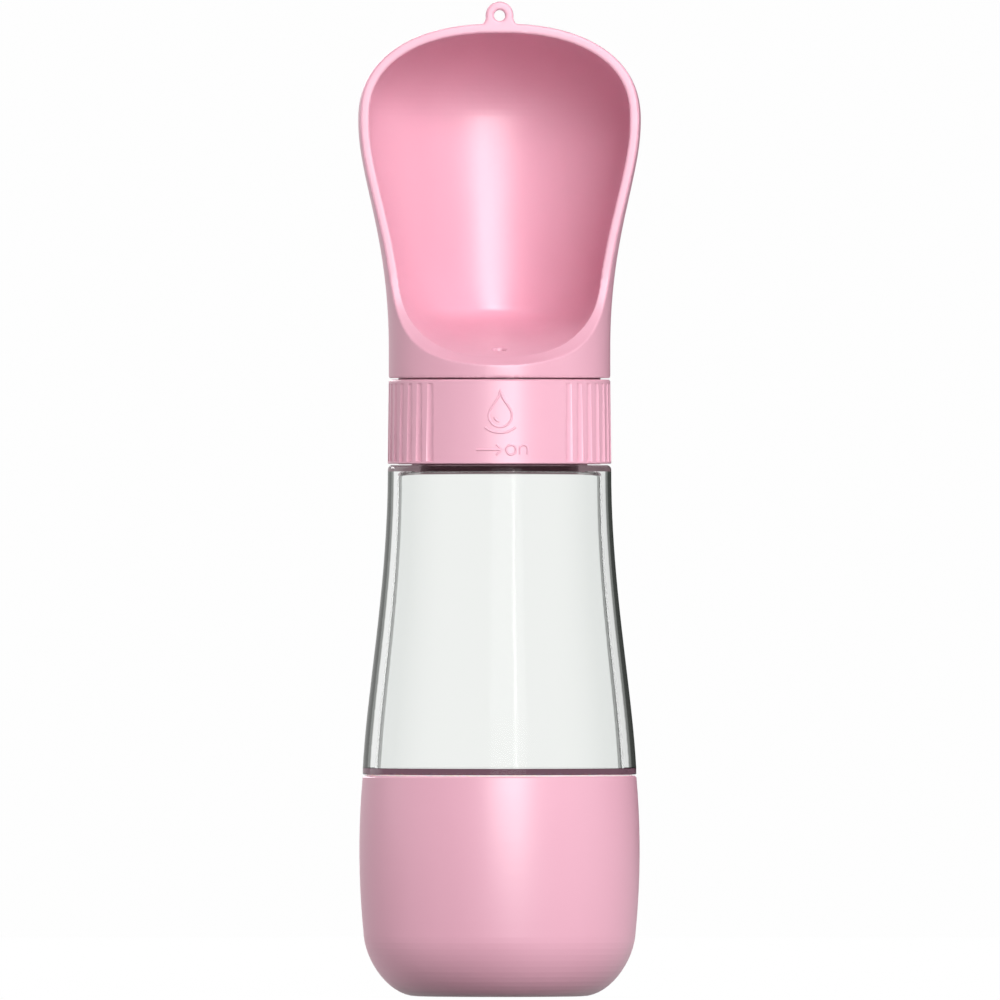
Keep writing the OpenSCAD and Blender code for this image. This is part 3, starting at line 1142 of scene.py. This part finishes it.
@dataclass(frozen=True)
class Thread:
    """One right-hand screw ridge on or in a round wall."""

    name: str
    body: Body
    slot: Slot
    wall_r: float
    crest_r: float
    low: float
    turns: float = 1.25
    pitch: float = 4.0
    root_w: float = 1.7
    crest_w: float = 0.7
    sink: float = 0.05
    lead_in: float = 25.0
    least: float = 0.02
    steps: int = 150

    def build(self, finish: Material) -> Thing:
        """Winds the ridge's section round the axis.

        Args:
            finish: Its material.

        Returns:
            The finished piece.
        """
        inward = math.copysign(self.sink, self.wall_r - self.crest_r)
        base_r = self.wall_r + inward
        half, top = self.root_w / 2, self.crest_w / 2
        piece = draw_outline(
            self.name,
            [
                (base_r, 0, self.low - half),
                (self.crest_r, 0, self.low - top),
                (self.crest_r, 0, self.low + top),
                (base_r, 0, self.low + half),
            ],
        )
        turn = math.tau * self.turns
        piece.modify(
            "SCREW",
            axis="Z",
            angle=turn,
            screw_offset=self.pitch * self.turns,
            steps=self.steps,
            render_steps=self.steps,
            use_merge_vertices=False,
        )
        piece.face_out()

        def taper(co: Vector) -> Vector:
            """Sinks the ridge into its wall at both ends."""
            along = self._angle(co, turn)
            room = min(along, turn - along) / math.radians(self.lead_in)
            radius = math.hypot(co.x, co.y)
            wanted = base_r + (radius - base_r) * smooth(max(self.least, room))
            return Vector((co.x * wanted / radius, co.y * wanted / radius, co.z))

        piece.move_points(taper)
        return piece.to_frame(self.body, self.slot, finish, 50.0)

    def _angle(self, co: Vector, turn: float) -> float:
        """How far round the helix a point is.

        Args:
            co: The point.
            turn: The helix's whole angle.

        Returns:
            The angle in radians, from 0 to the whole.
        """
        bare = math.atan2(co.y, co.x) % math.tau
        guess = (co.z - self.low) / self.pitch * math.tau
        lap = round((guess - bare) / math.tau)
        return max(0.0, min(turn, bare + lap * math.tau))


@dataclass
class Closures:
    """The threads of the neck, the cap, the spigot and the food box."""

    clear: Material
    inner: Material
    pink: Material

    def build(self) -> list[Thing]:
        """Builds the four ridges.

        Returns:
            The finished pieces.
        """
        water, head, box = Body.WATER, Body.HEAD, Body.BOX
        clear, inner, pink = Slot.CLEAR, Slot.INNER, Slot.PINK
        threads = (
            (Thread("neck_thread", water, clear, 22.0, 23.15, 137.2), self.clear),
            (Thread("cap_thread", head, inner, 23.5, 22.35, 135.2, 1.1), self.inner),
            (Thread("spigot_thread", water, clear, 29.27, 30.5, 48.2, 1.2), self.clear),
            (Thread("box_thread", box, pink, 30.87, 29.64, 46.6, 1.15), self.pink),
        )
        return [thread.build(finish) for thread, finish in threads]


@dataclass
class CollarMarks:
    """Raised marks on the switch collar: a water drop, an arrow and ON."""

    finish: Material
    wall_top_r: float = 27.75
    wall_low_r: float = 28.0
    wall_top: float = 154.4
    wall_low: float = 133.3
    stroke_r: float = 0.32
    rise: float = 0.22

    def wall_r(self, height: float) -> float:
        """Radius of the collar's face at a height."""
        share = (height - self.wall_low) / (self.wall_top - self.wall_low)
        return self.wall_low_r + (self.wall_top_r - self.wall_low_r) * share

    def stroke(self, points: Curve, closed: bool) -> Workpiece:
        """Draws one round stroke on a flat sheet.

        Args:
            points: Places across and up, in millimetres.
            closed: Whether the stroke runs back to its start.

        Returns:
            The stroke as a mesh.
        """
        piece = draw_outline("stroke", [(x, 0, z) for x, z in points])
        with piece.editing():
            bpy.ops.mesh.select_all(action="SELECT")
            bpy.ops.mesh.delete(type="ONLY_FACE")
            if not closed:
                piece.pick_near([(x, 0, z) for x, z in (points[0], points[-1])])
                bpy.ops.mesh.delete(type="EDGE")
        piece.hold()
        bpy.ops.object.convert(target="CURVE")
        curve = bpy.context.active_object.data
        curve.bevel_depth = self.stroke_r
        curve.bevel_resolution = 3
        curve.use_fill_caps = True
        bpy.ops.object.convert(target="MESH")
        piece.obj = bpy.context.active_object
        return piece

    def wrap(self, co: Vector) -> Vector:
        """Lays a flat point on the collar's round front.

        Args:
            co: A point of the sheet; its depth stands out of the wall.

        Returns:
            Its place on the collar.
        """
        base = self.wall_r(co.z)
        radius = base - co.y - self.stroke_r + self.rise
        angle = co.x / base
        return Vector((radius * math.sin(angle), -radius * math.cos(angle), co.z))

    def mark(self, name: str, strokes: Sequence[tuple[Curve, bool]]) -> Thing:
        """Joins strokes into one mark on the collar.

        Args:
            name: The piece's name.
            strokes: Each stroke's points, and whether it is closed.

        Returns:
            The finished piece.
        """
        pieces = [self.stroke(points, closed) for points, closed in strokes]
        first = pieces[0]
        first.hold()
        for other in pieces[1:]:
            other.obj.select_set(True)
        if len(pieces) > 1:
            bpy.ops.object.join()
        first.obj.name = name
        first.obj.data.name = name
        first.move_points(self.wrap)
        first.face_out()
        return first.to_frame(Body.SWITCH, Slot.PINK, self.finish, 60.0)

    @staticmethod
    def arc(centre: Pair, size: Pair, start: float, end: float) -> list[Pair]:
        """Points of an arc.

        Args:
            centre: Its middle.
            size: Its half width and half height.
            start: First angle in degrees.
            end: Last angle in degrees.

        Returns:
            The points.
        """
        count = max(6, round(abs(end - start) / 9))
        return [
            (
                centre[0] + size[0] * math.cos(math.radians(a)),
                centre[1] + size[1] * math.sin(math.radians(a)),
            )
            for a in (start + (end - start) * i / count for i in range(count + 1))
        ]

    def drop(self) -> Thing:
        """A water drop with a glint, over a ripple."""
        middle, tip, round_r, glint_r = (0.2, 145.4), 151.9, 2.9, 1.55
        side, reach, tip_w, tip_pull = 28.0, 2.2, 0.25, 2.4
        bowl = self.arc(middle, (round_r, round_r), 180 - side, 360 + side)
        left, right = bowl[0], bowl[-1]
        slope = math.radians(90 - side)

        def flank(start: Pair, sign: float) -> list[Pair]:
            """One side of the drop, from the round part up to its tip."""
            pull = (
                start[0] + sign * reach * math.cos(slope),
                start[1] + reach * math.sin(slope),
            )
            near_tip = (middle[0] - sign * tip_w, tip - tip_pull)
            handles = (start, pull, near_tip, (middle[0], tip))
            return [bezier(handles, i / 10) for i in range(1, 11)]

        outline = bowl + flank(right, -1.0) + flank(left, 1.0)[-2::-1]
        glint = self.arc(middle, (glint_r, glint_r), 195, 262)
        ripple = self.arc((middle[0], 147.6), (6.2, 6.6), 232, 308)
        return self.mark(
            "drop_mark", [(outline, True), (glint, False), (ripple, False)]
        )

    def arrow(self) -> Thing:
        """An arrow to the right."""
        height, start, tip, barb = 136.8, -5.8, 0.55, 1.35
        shaft = [(start + (tip - start) * i / 8, height) for i in range(9)]
        head = [(tip - barb, height + barb), (tip, height), (tip - barb, height - barb)]
        return self.mark("arrow_mark", [(shaft, False), (head, False)])

    def on_word(self) -> Thing:
        """The word on, in plain round letters."""
        foot, high = 135.6, 2.4
        ring = self.arc((2.9, foot + high / 2), (1.2, high / 2), 0, 351)
        arch = [
            (5.1, foot),
            (5.1, foot + high * 0.5),
            *self.arc((6.1, foot + high - 1.0), (1.0, 1.0), 180, 0),
            (7.1, foot + high * 0.4),
            (7.1, foot),
        ]
        return self.mark("on_mark", [(ring, True), (arch, False)])

    def build(self) -> list[Thing]:
        """Builds all the marks.

        Returns:
            The finished pieces.
        """
        return [self.drop(), self.arrow(), self.on_word()]


@dataclass
class Reservoir:
    """The clear shell and its floor plate."""

    foot_r: float = 34.27
    top_r: float = 28.0
    foot: float = 57.1
    shoulder: float = 133.0
    foot_lean: float = 1.1
    foot_handle: float = 20.5
    top_handle: float = 29.0
    half_wall: float = 1.5
    shoulder_t: float = 1.6
    plate_edge_t: float = 0.3
    # painted shade for the floor plate's rim
    plate_rim_shade_tint: Colour = (0.17, 0.09, 0.12)

    def wall_middle(self, height: Value) -> Value:
        """Radius of the middle of the wall, as a cubic through four places.

        Args:
            height: The height in millimetres.

        Returns:
            The radius there.
        """
        curve = (
            (self.foot_r, self.foot),
            (self.foot_r - self.foot_lean, self.foot + self.foot_handle),
            (self.top_r, self.shoulder - self.top_handle),
            (self.top_r, self.shoulder),
        )
        span = self.shoulder - self.foot
        share = (height - self.foot) / span
        a, b, c, d = (
            across_at(curve, self.foot + span * i / 3) - self.half_wall
            for i in range(4)
        )
        cubic = -4.5 * a + 13.5 * b - 13.5 * c + 4.5 * d
        square = 9 * a - 22.5 * b + 18 * c - 4.5 * d
        plain = -5.5 * a + 9 * b - 4.5 * c + d
        return ((share * cubic + square) * share + plain) * share + a

    def dress(self, nodes: Mapping[str, Thing]) -> Material:
        """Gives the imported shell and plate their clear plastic.

        Args:
            nodes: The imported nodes.

        Returns:
            The plain clear finish, for the threads on them.
        """
        # the shell gets painted shade at its edges and a dark painted band at the
        # shoulder; the plate gets a dark painted rim
        shell = ClearPlastic(
            "clear_shell",
            wall_middle=self.wall_middle,
            shade_band=(self.shoulder - self.shoulder_t, self.shoulder + 1),
        )
        plate = ClearPlastic(
            "clear_floor",
            shade_rim_r=self.foot_r - self.plate_edge_t,
            painted_shade_tint=self.plate_rim_shade_tint,
        )
        dress(nodes["reservoir"], shell.material())
        dress(nodes["reservoir_floor"], plate.material())
        return ClearPlastic("clear_thread").material()


def dress(node: Thing, material: Material) -> None:
    """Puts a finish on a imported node.

    Args:
        node: The node's object.
        material: The finish.
    """
    for place in node.material_slots:
        place.material = material
    LOG.info("%s: %s", node.name, material.name)


# --- The studio ---


@dataclass(frozen=True)
class Lamp:
    """A soft lamp, aimed at the bottle's middle."""

    name: str
    azimuth: float
    elevation: float
    distance: float
    width: float
    height: float
    watts: float
    matt: bool = True
    gloss: bool = True


@dataclass
class Studio:
    """Camera, lamps, world and floor."""

    pixel: float = 0.25045 * MM
    pixels: int = 1000
    lens: float = 1600.0
    sensor: float = 36.0
    aim: Point = (0.000125, 0.0, 0.12425)
    world_fill: float = 0.02
    backdrop: float = 0.99
    gloss: float = 0.8
    card_at: Pair = (0.55, 0.85)
    floor_size: float = 3.0
    floor_drop: float = 0.1 * MM
    lamps: tuple[Lamp, ...] = (
        Lamp("key", 19.0, 24.0, 1.6, 0.9, 0.9, 28.3, gloss=False),
        Lamp("fill_right", 75.0, 15.0, 1.6, 0.9, 0.9, 5.6, gloss=False),
        Lamp("fill_left", -90.0, 15.0, 1.6, 0.9, 0.9, 11.4, gloss=False),
        Lamp("top", 0.0, 85.0, 1.6, 0.9, 0.9, 3.0, gloss=False),
        Lamp("sheen", 7.5, 18.0, 1.5, 0.85, 1.8, 34.0, matt=False),
        Lamp("line", 14.5, 8.0, 1.5, 0.03, 0.55, 3.2, matt=False),
        Lamp("fill_back", 190.0, 35.0, 1.6, 0.9, 0.9, 17.0, gloss=False),
        Lamp("sheen_back", 200.0, 30.0, 1.5, 0.6, 1.0, 12.0, matt=False),
    )

    def camera(self) -> None:
        """A level camera far in front, with the photograph's frame."""
        wide = self.pixel * self.pixels
        distance = wide * self.lens / self.sensor
        bpy.ops.object.camera_add(
            location=(self.aim[0], -distance, self.aim[2]),
            rotation=(math.pi / 2, 0, 0),
        )
        camera = bpy.context.active_object
        camera.name = "front_camera"
        camera.data.lens = self.lens
        camera.data.sensor_width = self.sensor
        camera.data.clip_end = 100.0
        bpy.context.scene.camera = camera

    def light(self, lamp: Lamp) -> None:
        """Hangs one lamp.

        Args:
            lamp: Its place, size and power.
        """
        turn, rise = math.radians(lamp.azimuth), math.radians(lamp.elevation)
        back = Vector(
            (
                math.sin(turn) * math.cos(rise),
                -math.cos(turn) * math.cos(rise),
                math.sin(rise),
            )
        )
        place = Vector(self.aim) + back * lamp.distance
        bpy.ops.object.light_add(type="AREA", location=place)
        item = bpy.context.active_object
        item.name = lamp.name
        item.rotation_euler = back.to_track_quat("Z", "Y").to_euler()
        item.data.shape = "RECTANGLE"
        item.data.size = lamp.width
        item.data.size_y = lamp.height
        item.data.energy = lamp.watts
        item.visible_camera = False
        item.visible_diffuse = lamp.matt
        item.visible_glossy = lamp.gloss
        item.visible_transmission = False

    def world(self) -> None:
        """White to the eye, with a pale card behind on the left for the gloss."""
        world = bpy.data.worlds.new("studio")
        bpy.context.scene.world = world
        shader = Shader(world)
        place = shader.add("ShaderNodeTexCoord").outputs["Generated"]
        split = shader.add("ShaderNodeSeparateXYZ", None, {0: place})
        across, deep = (shader.value(split, axis) for axis in "XY")
        card = ((deep - across) * 0.7).step(*self.card_at)
        seen, glossy = shader.rays()
        light = seen * self.backdrop + glossy * card * self.gloss
        light = light + (1 - seen - glossy) * self.world_fill
        back = shader.add(
            "ShaderNodeBackground", None, {"Color": (1.0, 1.0, 1.0), "Strength": light}
        )
        shader.add("ShaderNodeOutputWorld", None, {"Surface": back})

    def floor(self) -> None:
        """A plain pale floor."""
        Workpiece.clear()
        bpy.ops.mesh.primitive_plane_add(
            size=self.floor_size, location=(0, 0, -self.floor_drop)
        )
        floor = bpy.context.active_object
        floor.name = "floor"
        bpy.ops.object.transform_apply(location=True, rotation=True, scale=True)
        floor.data.materials.append(PaleFloor("pale_floor").material())

    def build(self) -> None:
        """Sets up the whole studio."""
        self.world()
        self.camera()
        for lamp in self.lamps:
            self.light(lamp)
        self.floor()
        bpy.context.scene.view_settings.view_transform = "Standard"
        LOG.info("studio: %d lamps", len(self.lamps))


def main() -> None:
    """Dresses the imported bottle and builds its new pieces."""
    logging.basicConfig(level=logging.INFO, format="%(name)s: %(message)s")
    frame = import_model()
    nodes = frame["nodes"]

    pink = SatinPlastic("pink_satin").material()
    inner = SatinPlastic(
        "inner_pink",
        colour=(0.74, 0.33, 0.44),
        flow_colour=(0.78, 0.37, 0.48),
        roughness=0.45,
    ).material()
    silicone = Silicone("milky_silicone").material()
    steel = BrushedSteel("turned_steel").material()

    # painted shade: a slightly darker copy of the pink satin, so that the trough's deep
    # bowl reads dimmer than the collar and box
    trough_pink_shaded = SatinPlastic(
        "trough_satin_shaded", colour=(0.755, 0.385, 0.49), flow_colour=(0.775, 0.405, 0.51)
    ).material()
    for name in ("switch_collar", "food_box"):
        dress(nodes[name], pink)
    for name in ("neck_cap", "trough_base"):
        dress(nodes[name], inner)
    for name, node in nodes.items():
        if name.endswith(("_seal", "_ring")):
            dress(node, silicone)
    for name in ("hub_screw", "screw_washer"):
        dress(nodes[name], steel)
    clear = Reservoir().dress(nodes)

    Studio().build()
    Trough(trough_pink_shaded).build()
    Closures(clear, inner, pink).build()
    CollarMarks(pink).build()

    bpy.context.view_layer.update()


if __name__ == "__main__":
    main()
